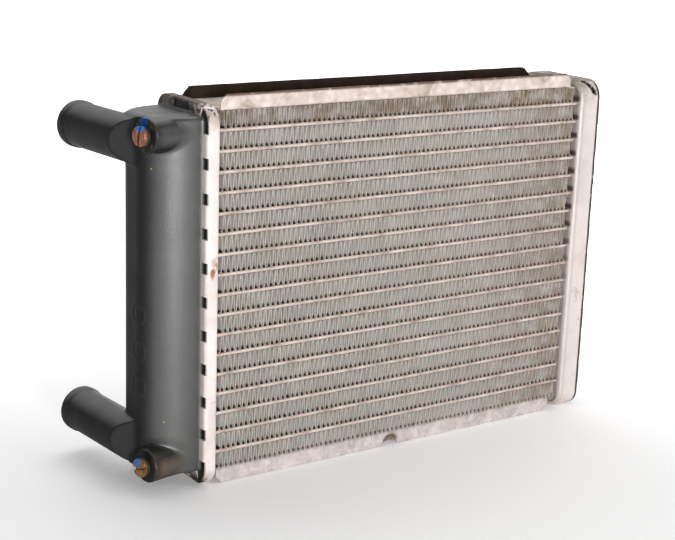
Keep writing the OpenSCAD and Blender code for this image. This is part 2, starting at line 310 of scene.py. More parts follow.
# ------------------------------------------------------------------ node trees
class Nodes:
    """A short way to write the node tree of a material or world.
    A span is the pair of values where a mask starts and ends its change."""

    def __init__(self, owner, coordinate="Object"):
        self.owner = owner
        owner.use_nodes = True
        self.tree = owner.node_tree
        self.place = self.node("TexCoord").outputs[coordinate]

    def node(self, kind):
        return self.tree.nodes.new("ShaderNode" + kind)

    def put(self, socket, value):
        """Link a socket or set its value; colours get their alpha."""
        if isinstance(value, bpy.types.NodeSocket):
            self.tree.links.new(value, socket)
        elif isinstance(value, tuple):
            short = len(socket.default_value) > len(value)
            socket.default_value = value + (1.0,) if short else value
        else:
            socket.default_value = value

    def axes(self, vector=None):
        node = self.node("SeparateXYZ")
        self.put(node.inputs[0], vector or self.place)
        return node.outputs

    def vector(self, operation, first, second=None):
        node = self.node("VectorMath")
        node.operation = operation
        self.put(node.inputs[0], first)
        if second is not None:
            self.put(node.inputs[1], second)
        return node.outputs

    def math(self, operation, a, b=0.0, clamp=False):
        node = self.node("Math")
        node.operation = operation
        node.use_clamp = clamp
        self.put(node.inputs[0], a)
        self.put(node.inputs[1], b)
        return node.outputs[0]

    def times(self, product, *factors, clamp=False):
        for factor in factors:
            product = self.math("MULTIPLY", product, factor, clamp)
        return product

    def inverse(self, value, clamp=False):
        return self.math("SUBTRACT", 1.0, value, clamp)

    def rise(self, value, span, low=0.0, high=1.0):
        """Smooth change from low to high over the span."""
        node = self.node("MapRange")
        node.interpolation_type = "SMOOTHSTEP"
        self.put(node.inputs["Value"], value)
        settings = (("From Min", span[0]), ("From Max", span[1]), ("To Min", low), ("To Max", high))
        for name, number in settings:
            node.inputs[name].default_value = number
        return node.outputs[0]

    def fall(self, value, span, clamp=False):
        return self.inverse(self.rise(value, span), clamp)

    def rise_mm(self, value, origin, span):
        """Rise along an axis, over a span in mm from an origin."""
        return self.rise(value, ((origin + span[0]) * MM, (origin + span[1]) * MM))

    def fall_mm(self, value, origin, span):
        return self.inverse(self.rise_mm(value, origin, span))

    def row_phase(self, z):
        """0 to 1 up each fin row, from its lower edge to the next row's."""
        above = self.math("SUBTRACT", z, FIN_LO[2] * MM)
        return self.math("FRACT", self.math("DIVIDE", above, TUBE_PITCH * MM))

    def noise(self, scale, detail=4.0, rough=0.6, warp=0.0, vector=None):
        node = self.node("TexNoise")
        node.inputs["Scale"].default_value = scale
        node.inputs["Detail"].default_value = detail
        node.inputs["Roughness"].default_value = rough
        node.inputs["Distortion"].default_value = warp
        self.put(node.inputs["Vector"], vector or self.place)
        return node.outputs["Fac"]

    def patches(self, span, **noise):
        return self.rise(self.noise(**noise), span)

    def voronoi(self, scale, feature="F1"):
        node = self.node("TexVoronoi")
        node.feature = feature
        node.inputs["Scale"].default_value = scale
        self.put(node.inputs["Vector"], self.place)
        return node.outputs["Distance"]

    def ramp(self, factor, *stops):
        """Stops are (position, colour or grey)."""
        node = self.node("ValToRGB")
        self.put(node.inputs[0], factor)
        elements = node.color_ramp.elements
        while len(elements) < len(stops):
            elements.new(0.5)
        for i, (position, color) in enumerate(stops):
            if not isinstance(color, tuple):
                color = (color, color, color)
            elements[i].position = position
            elements[i].color = (*color, 1.0)
        return node.outputs[0]

    def cover(self, color, tint, *masks, clamp=False):
        """Lay a tint over a colour where all the masks are high."""
        node = self.node("Mix")
        node.data_type = "RGBA"
        self.put(node.inputs[0], self.times(*masks, clamp=clamp))
        self.put(node.inputs[6], color)
        self.put(node.inputs[7], tint)
        return node.outputs[2]

    def bump(self, height, strength, depth, normal=None):
        """Depth in mm."""
        node = self.node("Bump")
        node.inputs["Strength"].default_value = strength
        node.inputs["Distance"].default_value = depth * MM
        self.put(node.inputs["Height"], height)
        if normal is not None:
            self.put(node.inputs["Normal"], normal)
        return node.outputs[0]

    def edge(self, radius):
        """High on edges, where a rounded normal differs from the true one. Radius in mm."""
        bevel = self.node("Bevel")
        bevel.inputs["Radius"].default_value = radius * MM
        bevel.samples = 4
        true_normal = self.node("NewGeometry").outputs["Normal"]
        match = self.vector("DOT_PRODUCT", bevel.outputs[0], true_normal)["Value"]
        return self.rise(self.inverse(match), span=(0.005, 0.12))

    def spot(self, centre, radius, soft=0.5, squash=(1, 1, 1)):
        """1 inside a ball (mm), 0 outside; soft is the faded share of its radius."""
        offset = self.vector("SUBTRACT", self.place, tuple(c * MM for c in centre))[0]
        offset = self.vector("MULTIPLY", offset, squash)[0]
        distance = self.vector("LENGTH", offset)["Value"]
        return self.fall(distance, (radius * MM * (1 - soft), radius * MM), clamp=True)

    def blue_paint(self):
        return self.ramp(self.noise(scale=800, detail=3),
                         (0.3, srgb(4, 58, 128)), (0.7, srgb(16, 104, 186)))

    def paint_breaks(self):
        return self.patches(scale=520, detail=3, rough=0.55, span=(0.3, 0.42))

    def set_input(self, name, value):
        self.put(self.tree.nodes["Principled BSDF"].inputs[name], value)

    def finish(self, color, rough, metallic=0.0, normal=None, specular=0.5):
        self.set_input("Base Color", color)
        self.set_input("Roughness", rough)
        self.set_input("Metallic", metallic)
        self.set_input("Specular IOR Level", specular)
        if normal is not None:
            self.set_input("Normal", normal)
        return self.owner


def new_material(name):
    return Nodes(bpy.data.materials.new(name))


def srgb(*color):
    """Linear colour from 0 to 255 display values."""
    def linear(c):
        return c / 12.92 if c <= 0.04045 else ((c + 0.055) / 1.055) ** 2.4
    return tuple(linear(c / 255) for c in color)


def brighter(color, factor):
    return tuple(min(255, int(c * factor)) for c in color)


# ------------------------------------------------------------------ materials
# stains low on the front of the left header:
# x, z, radius, squash, noise scale, patch span, colour
HEADER_STAINS = (
    (-103.9, 100.5, 3.6, (0.95, 1, 0.5), 380, (0.4, 0.58), (178, 146, 124)),
    (-105.2, 98.6, 2.2, (1.3, 1, 0.6), 500, (0.38, 0.55), (148, 102, 74)),
)
# painted shade in spots along the torn slit in the right header: x, y, z
SLIT_SPOTS = ((105.7, 1.7, 169.4), (106.5, 0.4, 168.8), (107.4, -0.8, 167.7),
              (108.3, -1.7, 166.5), (109.0, -2.5, 165.0))


def header_material():
    nodes = new_material("oxidised_header_aluminium")
    x, y, z = nodes.axes()
    broad = nodes.noise(scale=38)
    fine = nodes.noise(scale=420, detail=5, rough=0.65)
    color = nodes.ramp(broad, (0.25, srgb(198, 186, 183)), (0.5, srgb(222, 211, 208)),
                       (0.75, srgb(232, 223, 221)))
    color = nodes.cover(color, srgb(196, 180, 168), nodes.rise(fine, span=(0.56, 0.72)), 0.35)
    dirt = nodes.patches(scale=90, detail=6, rough=0.7, warp=0.6, span=(0.6, 0.72))
    color = nodes.cover(color, srgb(176, 150, 124), dirt, 0.55)
    # upper and lower ends
    ends = nodes.math("ADD", nodes.rise_mm(z, TRAY_Z, span=(70, 84)),
                      nodes.fall_mm(z, TRAY_Z, span=(-84, -76)))
    end_dirt = nodes.patches(scale=160, detail=5, span=(0.38, 0.66))
    color = nodes.cover(color, srgb(160, 146, 128), ends, end_dirt, clamp=True)
    # painted highlight along the sheet's edges
    color = nodes.cover(color, srgb(252, 248, 240), nodes.edge(radius=0.5), 0.35)
    for stain_x, stain_z, radius, squash, scale, span, tint in HEADER_STAINS:
        stain = nodes.spot((stain_x, LEFT_LO[1], stain_z), radius, soft=0.7, squash=squash)
        color = nodes.cover(color, srgb(*tint), stain, nodes.patches(scale=scale, span=span))
    # the right header is darker
    color = nodes.cover(color, srgb(120, 106, 98), nodes.rise_mm(x, 0, span=(0, 10)), 0.20)
    # painted shade along the torn slit
    for place in SLIT_SPOTS:
        color = nodes.cover(color, srgb(30, 20, 14), nodes.spot(place, radius=1.55, soft=0.25))
    # painted shade: dark bands beside the right ends of the tubes
    phase = nodes.row_phase(z)
    near_floor = nodes.times(nodes.rise_mm(x, 0, span=(99.5, 100.2)),
                             nodes.fall_mm(x, RIGHT_LO[0], span=(0.05, 0.35)))
    color = nodes.cover(color, srgb(26, 18, 12), nodes.rise(phase, span=(0.0, 0.06)),
                        nodes.fall(phase, span=(0.20, 0.42)), near_floor,
                        nodes.rise_mm(z, 0, span=(50, 110)), 0.95)
    # dark patchy band along the outer rim of the right tray, and painted shade on its floor, which
    # faces the core
    color = nodes.cover(color, srgb(52, 38, 28), nodes.rise_mm(x, RIGHT_HI[0], span=(-2.5, -2.1)),
                        nodes.patches(scale=200, span=(0.2, 0.42)))
    color = nodes.cover(color, srgb(150, 140, 132), nodes.rise_mm(x, RIGHT_LO[0], span=(-0.2, 0.1)),
                        nodes.fall_mm(x, RIGHT_LO[0], span=(2.2, 3.6)), 0.30)
    # near-black patches on top of the left tray, behind its front edge and then on its outer part
    top = nodes.rise_mm(z, LEFT_HI[2], span=(-7.5, -3.0))
    left = nodes.fall_mm(x, 0, span=(-100, -99))
    rear_dark_patches = nodes.times(nodes.rise_mm(y, FLAT_FRONT_Y, span=(-15.0, -3.0)),
                             nodes.patches(scale=210, detail=5, rough=0.65, span=(0.30, 0.50)))
    color = nodes.cover(color, srgb(36, 27, 21), top, left, rear_dark_patches, 0.93)
    color = nodes.cover(color, srgb(24, 18, 14), top, nodes.fall_mm(x, 0, span=(-104.5, -103.0)),
                        nodes.patches(scale=430, span=(0.5, 0.56)), 0.92)
    # lower outer lip of the left tray
    color = nodes.cover(color, srgb(38, 28, 20), nodes.fall_mm(z, LEFT_LO[2], span=(2.0, 6.0)),
                        nodes.fall_mm(x, LEFT_LO[0], span=(2.2, 3.4)),
                        nodes.patches(scale=330, detail=5, rough=0.65, span=(0.34, 0.48)))
    # top faces
    color = nodes.cover(color, srgb(92, 74, 58), nodes.rise_mm(z, RIGHT_HI[2], span=(-1.2, -0.2)),
                        nodes.patches(scale=170, span=(0.36, 0.55)), 0.75)
    rough = nodes.ramp(nodes.noise(scale=150), (0.3, 0.42), (0.7, 0.62))
    normal = nodes.bump(fine, strength=0.25, depth=0.12)
    normal = nodes.bump(broad, strength=0.35, depth=0.6, normal=normal)
    return nodes.finish(color, rough, metallic=0.35, normal=normal)


def plate_material():
    nodes = new_material("mottled_side_plate_aluminium")
    z = nodes.axes()[2]
    cells = nodes.voronoi(scale=260, feature="SMOOTH_F1")
    blotches = nodes.noise(scale=85, detail=5, rough=0.68, warp=0.8)
    fine = nodes.noise(scale=520, detail=5, rough=0.7)
    color = nodes.ramp(blotches, (0.3, srgb(150, 133, 122)), (0.47, srgb(188, 172, 163)),
                       (0.7, srgb(209, 198, 191)))
    color = nodes.cover(color, srgb(246, 241, 238), nodes.rise(cells, span=(0.5, 0.15)), 0.25)
    color = nodes.cover(color, srgb(190, 168, 150), nodes.rise(fine, span=(0.56, 0.7)), 0.5)
    # the lower plate is greyer
    grey = nodes.ramp(nodes.noise(scale=150, detail=6, rough=0.72, warp=0.8),
                      (0.34, srgb(144, 135, 133)), (0.5, srgb(176, 168, 168)),
                      (0.64, srgb(199, 193, 193)))
    color = nodes.cover(color, grey, nodes.fall_mm(z, 0, span=(20, 120)), 0.75)
    rust = nodes.patches(scale=48, detail=6, rough=0.72, warp=1.2, span=(0.6, 0.7))
    color = nodes.cover(color, srgb(196, 152, 124), rust, 0.5)
    # upper edge, then the knock in the lower flange
    color = nodes.cover(color, srgb(96, 68, 52), nodes.rise_mm(z, PLATE_HI[2], span=(-1.6, -0.5)),
                        nodes.patches(scale=120, span=(0.28, 0.5)))
    dent = nodes.spot((DENT_X, -0.2, 2.4), radius=4.6, soft=0.45, squash=(0.9, 1, 1))
    color = nodes.cover(color, srgb(88, 62, 42), dent,
                        nodes.patches(scale=260, detail=5, rough=0.7, span=(0.3, 0.5)))
    rough = nodes.ramp(blotches, (0.3, 0.75), (0.7, 0.5))
    normal = nodes.bump(fine, strength=0.3, depth=0.15)
    normal = nodes.bump(blotches, strength=0.5, depth=0.8, normal=normal)
    return nodes.finish(color, rough, metallic=0.2, normal=normal)


def fin_material():
    nodes = new_material("dusty_fin_foil")
    x, y, z = nodes.axes()
    front, back = FIN_LO[1], FIN_HI[1]
    edge = nodes.math("ADD", nodes.fall_mm(y, front, span=(0.1, 0.9)),
                      nodes.rise_mm(y, back, span=(-0.9, -0.1)), clamp=True)
    base = nodes.ramp(nodes.noise(scale=55), (0.3, srgb(219, 216, 214)),
                      (0.7, srgb(236, 233, 231)))
    # darker deep inside the core: partly dust, partly painted shade
    base = nodes.cover(base, srgb(180, 177, 174), nodes.rise_mm(y, front, span=(0.8, 6)),
                       nodes.fall_mm(y, back, span=(-6, -0.8)), 0.22)
    # painted shade at the foot of each row, browner to the right
    row_foot_shade = nodes.cover(srgb(40, 34, 28), srgb(104, 66, 40),
                             nodes.rise_mm(x, 0, span=(-30, 70)))
    base = nodes.cover(base, row_foot_shade, nodes.fall(nodes.row_phase(z), span=(0.03, 0.17)),
                       nodes.rise_mm(y, front, span=(0.4, 1.2)))
    lip = nodes.ramp(nodes.noise(scale=330, detail=3), (0.3, srgb(208, 196, 178)),
                     (0.65, srgb(236, 230, 220)))
    color = nodes.cover(base, lip, edge)
    specks = nodes.patches(scale=700, detail=3, span=(0.62, 0.74))
    color = nodes.cover(color, srgb(146, 112, 84), specks, 0.7)
    # brown grime in the top row and towards the right end
    top = nodes.rise_mm(z, PLATE_LO[2], span=(-10.0, -6.5))
    right = nodes.times(nodes.rise_mm(x, 0, span=(30, 100)), 0.6)
    where = nodes.math("ADD", nodes.times(top, 0.8), right, clamp=True)
    color = nodes.cover(color, srgb(160, 132, 96), where,
                        nodes.patches(scale=130, detail=5, rough=0.65, span=(0.36, 0.62)), 0.75)
    rough = nodes.ramp(nodes.noise(scale=200, detail=3), (0.3, 0.45), (0.7, 0.7))
    normal = nodes.bump(nodes.noise(scale=900, detail=3), strength=0.25, depth=0.08)
    return nodes.finish(color, rough, metallic=0.45, normal=normal)


def tube_material():
    nodes = new_material("brazed_tube_aluminium")
    x, y, _ = nodes.axes()
    stretched = nodes.vector("MULTIPLY", nodes.place, (0.45, 1, 1))[0]
    blotches = nodes.noise(scale=240, detail=5, rough=0.65, vector=stretched)
    color = nodes.ramp(blotches, (0.3, srgb(150, 128, 116)), (0.5, srgb(190, 172, 163)),
                       (0.7, srgb(210, 197, 189)))
    dots = nodes.patches(scale=620, detail=3, span=(0.58, 0.68))
    color = nodes.cover(color, srgb(128, 86, 56), dots, nodes.rise_mm(x, 0, span=(-20, 90)), 0.8)
    # painted shade: the tubes go dark inside the core, between the front and back edges
    color = nodes.cover(color, srgb(44, 36, 30), nodes.rise_mm(y, FIN_LO[1], span=(0.35, 0.9)),
                        nodes.fall_mm(y, FIN_HI[1], span=(-0.9, -0.35)))
    normal = nodes.bump(nodes.noise(scale=650), strength=0.5, depth=0.2)
    rough = nodes.ramp(blotches, (0.3, 0.7), (0.7, 0.48))
    return nodes.finish(color, rough, metallic=0.3, normal=normal)


def tank_material():
    nodes = new_material("black_filled_nylon")
    x = nodes.axes()[0]
    color = nodes.ramp(nodes.noise(scale=60, detail=5), (0.3, srgb(46, 47, 46)),
                       (0.7, srgb(58, 59, 57)))
    dust = nodes.patches(scale=190, detail=6, rough=0.75, span=(0.62, 0.74))
    color = nodes.cover(color, srgb(128, 118, 102), dust, 0.22)
    specks = nodes.fall(nodes.voronoi(scale=95), span=(0.035, 0.05), clamp=True)
    color = nodes.cover(color, srgb(206, 178, 120), specks,
                        nodes.patches(scale=25, detail=2, rough=0.5, span=(0.5, 0.6)))
    # brown grime and painted shadow round the lower boss
    boss_y = BLEED[1]
    grime = nodes.spot((-125.0, boss_y - 6.0, DRAIN[2] + 2.0), radius=12.0, soft=0.85)
    color = nodes.cover(color, srgb(84, 60, 40), grime,
                        nodes.patches(scale=230, detail=6, rough=0.7, span=(0.36, 0.56)))
    # painted shadow on the top of the lower boss, near the tank
    shadow_above_boss = nodes.spot((-124.5, boss_y - 0.6, DRAIN[2] + 7.0), radius=8.2, soft=0.6,
                      squash=(0.6, 0.8, 1.3))
    color = nodes.cover(color, srgb(14, 12, 10), shadow_above_boss)
    # dust, then blue paint, on the upper boss
    grime = nodes.spot((-133.0, boss_y + 1.0, BLEED[2]), radius=9.5, soft=0.4)
    color = nodes.cover(color, srgb(150, 118, 92), grime,
                        nodes.patches(scale=260, detail=5, rough=0.7, span=(0.55, 0.68)))
    paint = nodes.spot(boss_point(BLEED, out=0.8, across=0.9, up=5.9), radius=3.1, soft=0.12)
    color = nodes.cover(color, nodes.blue_paint(), paint, nodes.paint_breaks(), clamp=True)
    # the flat outer face is a little duller than the flanks
    flat = nodes.fall_mm(x, FLAT_X, span=(0.05, 0.7))
    rough = nodes.ramp(nodes.noise(scale=90), (0.3, 0.39), (0.7, 0.46))
    rough = nodes.math("ADD", rough, nodes.times(flat, 0.10))
    normal = nodes.bump(nodes.noise(scale=1500, detail=3), strength=0.6, depth=0.11)
    normal = nodes.bump(nodes.noise(scale=210, rough=0.55), strength=0.18, depth=0.4,
                        normal=normal)
    # painted light: faces turned to the front or upwards keep the paler colour and are glossier,
    # and the other faces are darkened as painted shade
    facing = nodes.node("NewGeometry").outputs["Normal"]
    forward = nodes.vector("DOT_PRODUCT", facing, (-0.33, -0.944, 0.0))["Value"]
    upward = nodes.axes(facing)[2]
    off_flat = nodes.math("ADD", 0.2, nodes.times(0.8, nodes.rise_mm(x, FLAT_X, span=(0, 5.5))))
    facing_light = nodes.math("MAXIMUM", nodes.times(off_flat, nodes.rise(forward, span=(0.55, 0.97))),
                      nodes.rise(upward, span=(0.45, 0.9)))
    shaded_color = nodes.cover(color, (0.0, 0.0, 0.0), 0.62)
    color = nodes.cover(color, shaded_color, nodes.inverse(facing_light))
    material = nodes.finish(color, rough, normal=normal, specular=0.9)
    nodes.set_input("Specular IOR Level", nodes.math("ADD", 0.07, nodes.times(facing_light, 0.85)))
    return material


def rubber_material(name, dark, painted=False):
    nodes = new_material(name)
    color = nodes.ramp(nodes.noise(scale=240), (0.3, srgb(dark, dark, dark)),
                       (0.7, srgb(33, 33, 33)))
    if painted:
        paint = nodes.spot(boss_point(BLEED, out=0.8, across=0.9, up=5.4), radius=2.2, soft=0.12)
        color = nodes.cover(color, nodes.blue_paint(), paint)
    rough = nodes.ramp(nodes.noise(scale=400, detail=3), (0.3, 0.6), (0.7, 0.85))
    normal = nodes.bump(nodes.noise(scale=900, detail=3), strength=0.3, depth=0.1)
    return nodes.finish(color, rough, normal=normal)


def foam_material():
    nodes = new_material("dark_brown_seal_foam")
    blotches = nodes.noise(scale=110, detail=5, rough=0.65)
    color = nodes.ramp(blotches, (0.3, srgb(30, 22, 16)), (0.7, srgb(54, 40, 30)))
    color = nodes.cover(color, srgb(14, 10, 8), nodes.edge(radius=0.4), 0.6)
    normal = nodes.bump(nodes.voronoi(scale=1300), strength=0.5, depth=0.2)
    normal = nodes.bump(blotches, strength=0.4, depth=0.6, normal=normal)
    return nodes.finish(color, rough=0.9, normal=normal, specular=0.2)


def screw_material(name, paint_centre, base, dark):
    """Bare metal with a blot of blue paint on the head."""
    nodes = new_material(name)
    blotches = nodes.noise(scale=420, detail=5, rough=0.65)
    color = nodes.ramp(blotches, (0.3, srgb(*dark)), (0.55, srgb(*base)),
                       (0.75, srgb(*brighter(base, 1.18))))
    # painted highlight along the head's edges
    color = nodes.cover(color, srgb(*brighter(base, 1.35)), nodes.edge(radius=0.4), 0.5)
    paint = nodes.spot(paint_centre, radius=2.6, soft=0.14)
    paint = nodes.times(paint, nodes.paint_breaks(), clamp=True)
    color = nodes.cover(color, nodes.blue_paint(), paint)
    bare_rough = nodes.ramp(blotches, (0.3, 0.5), (0.7, 0.28))
    rough = nodes.cover(bare_rough, (0.38, 0.38, 0.38), paint)
    metallic = nodes.math("SUBTRACT", 0.6, nodes.times(paint, 0.6))
    height = nodes.math("ADD", nodes.times(blotches, 0.3), paint)
    return nodes.finish(color, rough, metallic, nodes.bump(height, strength=0.5, depth=0.3))


MATERIALS = dict(
    header=header_material(), plate=plate_material(), fin=fin_material(), tube=tube_material(),
    tank=tank_material(), rubber=rubber_material("gasket_rubber", dark=22), foam=foam_material(),
    copper=screw_material("copper_bleed_screw", boss_point(BLEED, out=3.2, across=-0.7, up=4.2),
                          base=(142, 92, 72), dark=(84, 54, 42)),
    brass=screw_material("brass_drain_screw", boss_point(DRAIN, out=3.6, across=1.1, up=2.6),
                         base=(136, 96, 54), dark=(72, 48, 27)))


def dress(name, material):
    """Give a CAD piece that stays as it is its material."""
    mesh = frame["nodes"][name].data
    mesh.materials.clear()
    mesh.materials.append(material)


# ------------------------------------------------------------------ fins
FOLDS = 156
FOLD_RADIUS, FOIL_HALF = 0.40, 0.055          # foil measured to its middle, half thickness
# places along the depth, from the front edge and mirrored from the back one
LOUVRE_Y = np.array([0, 0.9, 1.7, 2.5, 3.4, 9.0])
LOUVRE_SHIFT = np.array([0, 0.13, -0.13, 0.13, -0.1, 0, 0, 0.1, -0.13, 0.13, -0.13, 0])
KNOCKED_ROW, BENT_ROWS = 18, (17, 16, 13, 9)


def fold_line(number, lo, hi, bottom, top):
    """The zigzag seen from the front: (x, z) points, normals, and 1 where louvres go."""
    rng = np.random.default_rng(100 + number)
    start, end = lo[0] + 0.55, hi[0] - (1.5 if number > 9 else 0.7)
    fold = np.arange(FOLDS + 1)
    drift = (rng.random() - 0.5) * 0.5
    xs = (start + (end - start) * fold / FOLDS + 0.16 * noise1(fold * 0.31, number)
          + 0.05 * rng.standard_normal(FOLDS + 1) + drift * np.sin(np.pi * fold / FOLDS))
    xs = np.maximum.accumulate(xs)
    upper = (fold + number) % 2 == 0
    zs = (np.where(upper, top - FOLD_RADIUS - FOIL_HALF, bottom + FOLD_RADIUS + FOIL_HALF)
          + np.where(upper, -1, 1) * np.abs(0.05 * rng.standard_normal(FOLDS + 1)))
    lean = math.radians(4.0)
    arcs, arc_normals = [], []
    for j in range(FOLDS + 1):
        side = 1.0 if upper[j] else -1.0
        turns = [np.array([math.cos(angle), side * math.sin(angle)])
                 for angle in np.linspace(math.pi - lean, lean, 5)]
        arcs.append([np.array([xs[j], zs[j]]) + FOLD_RADIUS * turn for turn in turns])
        arc_normals.append([turn * side for turn in turns])
    # two more points on each wall carry the louvres
    points, normals, louvred = [], [], []
    for j in range(FOLDS + 1):
        points += arcs[j]
        normals += arc_normals[j]
        louvred += [0] * 5
        if j < FOLDS:
            p, q = arcs[j][-1], arcs[j + 1][0]
            along = (q - p) / np.linalg.norm(q - p)
            normal = np.array([-along[1], along[0]])
            if normal @ arc_normals[j][-1] < 0:
                normal = -normal
            for share in (0.12, 0.88):
                points.append(p + (q - p) * share)
                normals.append(normal)
                louvred.append(1)
    return np.array(points), np.array(normals), np.array(louvred, float)


def fin_row(number):
    node = f"fin_{number:02d}"
    lo, hi = box_mm(node)
    bottom, top = lo[2] + 0.02, hi[2] - 0.02
    points, normals, louvred = fold_line(number, lo, hi, bottom, top)
    xs, zs = points.T
    mid_wall = 1 - np.abs((zs - (bottom + top) / 2) / ((top - bottom) / 2)) ** 2
    jitter = 0.10 * noise1(xs * 0.9, 40 + number) * mid_wall
    if number == KNOCKED_ROW:
        jitter = jitter * 2.2 + 0.25 * noise1(xs * 0.35, 7) * mid_wall
    elif number in BENT_ROWS:
        near_bend = np.exp(-((xs - (-70 + 37 * (number % 4))) / 4.0) ** 2)
        jitter = jitter + 0.5 * near_bend * mid_wall
    ys = np.concatenate([lo[1] + 0.15 + LOUVRE_Y, hi[1] - 0.15 - LOUVRE_Y[::-1]])
    middle = np.empty((len(points), len(ys), 3))
    for i in range(len(ys)):
        near_face = 1.0 if i < 2 or i > len(ys) - 3 else 0.5
        middle[:, i, 0] = xs + normals[:, 0] * LOUVRE_SHIFT[i] * louvred + jitter * near_face
        middle[:, i, 1] = ys[i] + (0.10 * noise1(xs * 1.7, number + 90) if i == 0 else 0)
        middle[:, i, 2] = zs
    thick = np.zeros_like(middle)
    thick[..., 0] = normals[:, None, 0]
    thick[..., 2] = normals[:, None, 1]
    thick *= FOIL_HALF
    verts, faces = shell(middle + thick, middle - thick)
    verts[:, 2] = np.clip(verts[:, 2], lo[2], hi[2])
    add_piece(f"fin_row_{number:02d}", verts, faces, MATERIALS["fin"], node, angle=50)


for number in range(1, FIN_ROWS + 1):
    fin_row(number)
for number in range(1, TUBES + 1):
    dress(f"tube_{number:02d}", MATERIALS["tube"])


# ------------------------------------------------------------------ side plates
PLATE_THICKNESS, PLATE_BEND = 1.0, 1.6        # bend is the outer radius
END_CUT = 3.0                                 # flanges slope down over this much at the ends


def channel_profile(front, back, rear_flange):
    """(y, height above the web, share up the flange, side, normal y, normal height);
    side is -1 on the front flange, 1 on the rear one and 0 on the web."""
    bend = PLATE_BEND
    profile = [(front, bend, share, -1, -1.0, 0.0) for share in np.linspace(1, 0, 7)]
    for angle in np.linspace(0, math.pi / 2, 5)[1:]:
        c, s = math.cos(angle), math.sin(angle)
        profile.append((front + bend - bend * c, bend - bend * s, 0, -1, -c, -s))
    for y in np.linspace(front + bend, back - bend, 9)[1:]:
        profile.append((y, 0.0, 0, 0, 0.0, -1.0))
    if not rear_flange:
        profile.append((back, 0.0, 0, 0, 0.0, -1.0))
        return profile
    for angle in np.linspace(math.pi / 2, 0, 5)[1:]:
        c, s = math.cos(angle), math.sin(angle)
        profile.append((back - bend + bend * c, bend - bend * s, 0, 1, c, -s))
    return profile + [(back, bend, share, 1, 1.0, 0.0) for share in np.linspace(0, 1, 7)[1:]]


def channel(name, node, top):
    lo, hi = box_mm(node)
    web = lo[2] if top else hi[2]             # face that lies on the fins
    away = 1.0 if top else -1.0
    xs = np.unique(np.concatenate([
        np.linspace(lo[0], hi[0], 150),
        lo[0] + np.linspace(0, END_CUT, 7), hi[0] - np.linspace(0, END_CUT, 7),
        np.linspace(DENT_X - 6, DENT_X + 6, 30), np.linspace(NICK_X - 3, NICK_X + 3, 12)]))
    end = np.minimum(xs - lo[0], hi[0] - xs)
    profile = channel_profile(lo[1], hi[1], rear_flange=not top)
    outer = np.empty((len(xs), len(profile), 3))
    normals = np.zeros_like(outer)
    for j, (y, base, share, side, normal_y, normal_h) in enumerate(profile):
        full = (hi[2] - lo[2]) - np.maximum(END_CUT - end, 0)
        if side < 0:
            full = full - 0.12 * (1 + noise1(xs * 0.22, 3 + top)) * (end > 2)
        full = np.maximum(full - 0.05, PLATE_BEND + 0.3)
        height = base + share * (full - base)
        depth = y + 0 * xs
        wave = 0.16 * noise1(xs * 0.055, 11 + 5 * top + side) + 0.05 * noise1(xs * 0.33, 21 + side)
        if side < 0 and share > 0:
            depth = depth + share * (np.abs(wave) * 0.9)
            if top:                           # small slit near the right end
                height = height - 1.5 * np.exp(-((xs - 86.5) / 0.55) ** 2) * share
            else:                             # the knock and the nick
                dent = np.exp(-((xs - DENT_X) / 3.9) ** 4)
                depth = depth + 2.3 * dent * share ** 1.3
                height = height - 1.6 * dent * share
                height = height - 0.8 * np.exp(-((xs - NICK_X) / 0.9) ** 2) * share
        if side > 0 and share > 0:
            depth = depth - share * np.abs(wave) * 0.7
        outer[:, j, 0] = xs
        outer[:, j, 1] = depth
        outer[:, j, 2] = web + away * height
        normals[:, j, 1] = normal_y
        normals[:, j, 2] = away * normal_h
    inner = outer - normals * PLATE_THICKNESS
    if not top:                               # keeps the faces turned outwards
        outer, inner = outer[::-1], inner[::-1]
    verts, faces = shell(outer, inner)
    piece = add_piece(name, verts, faces, MATERIALS["plate"], node)
    add_bevel(piece, width=0.18, angle=50)


channel("top_channel", "top_side_plate", top=True)
channel("bottom_channel", "bottom_side_plate", top=False)


# ------------------------------------------------------------------ crimped trays
# Each tray is a flat floor with a wall round it, whose rim is cut into tabs that fold
# over the tank's foot. side is -1 for the left tray and 1 for the right one.
TRAY_CORNER, TRAY_THICKNESS = 8.5, 1.1
FLOOR_BEND, TAB_BEND, TAB_LIP = 2.0, 1.35, 4.55
TAB_MIDDLE_Z, TAB_PITCH = 85.5, 15.08
TAB_ZS = [TAB_MIDDLE_Z + (k - 4.5) * TAB_PITCH for k in range(10)]
TAB_STATIONS = (-5.0, -4.75, -2.5, 0, 2.5, 4.75, 5.0)
SHORT_STATIONS = (-11.0, -7.2, -6.95, -4.55, -4.3, -2.0, 0, 2.0, 4.3, 4.55, 6.95, 7.2, 11.0)


def tray_path(half_y, half_z, centre_z):
    """Points round the tray from its rear lower corner: y, z, outward y, outward z."""
    straight_y, straight_z = half_y - TRAY_CORNER, half_z - TRAY_CORNER
    long = [-straight_z, straight_z]
    long += [tab + station - centre_z for tab in TAB_ZS for station in TAB_STATIONS]
    long = np.array(sorted(long))
    long = long[(long >= -straight_z - 1e-6) & (long <= straight_z + 1e-6)]
    short = np.array([-straight_y, *SHORT_STATIONS, straight_y])

    def corner(y, z, quarter):
        angles = np.linspace(quarter * math.pi / 2, (quarter + 1) * math.pi / 2, 11)[1:]
        return [(y + TRAY_CORNER * math.cos(a), z + TRAY_CORNER * math.sin(a),
                 math.cos(a), math.sin(a)) for a in angles]

    path = [(half_y, z, 1.0, 0.0) for z in long]
    path += corner(straight_y, straight_z, 0)
    path += [(y, half_z, 0.0, 1.0) for y in short[::-1][1:]]
    path += corner(-straight_y, straight_z, 1)
    path += [(-half_y, z, -1.0, 0.0) for z in long[::-1][1:]]
    path += corner(-straight_y, -straight_z, 2)
    path += [(y, -half_z, 0.0, -1.0) for y in short[1:]]
    path += corner(straight_y, -straight_z, 3)[:-1]
    return np.array(path)


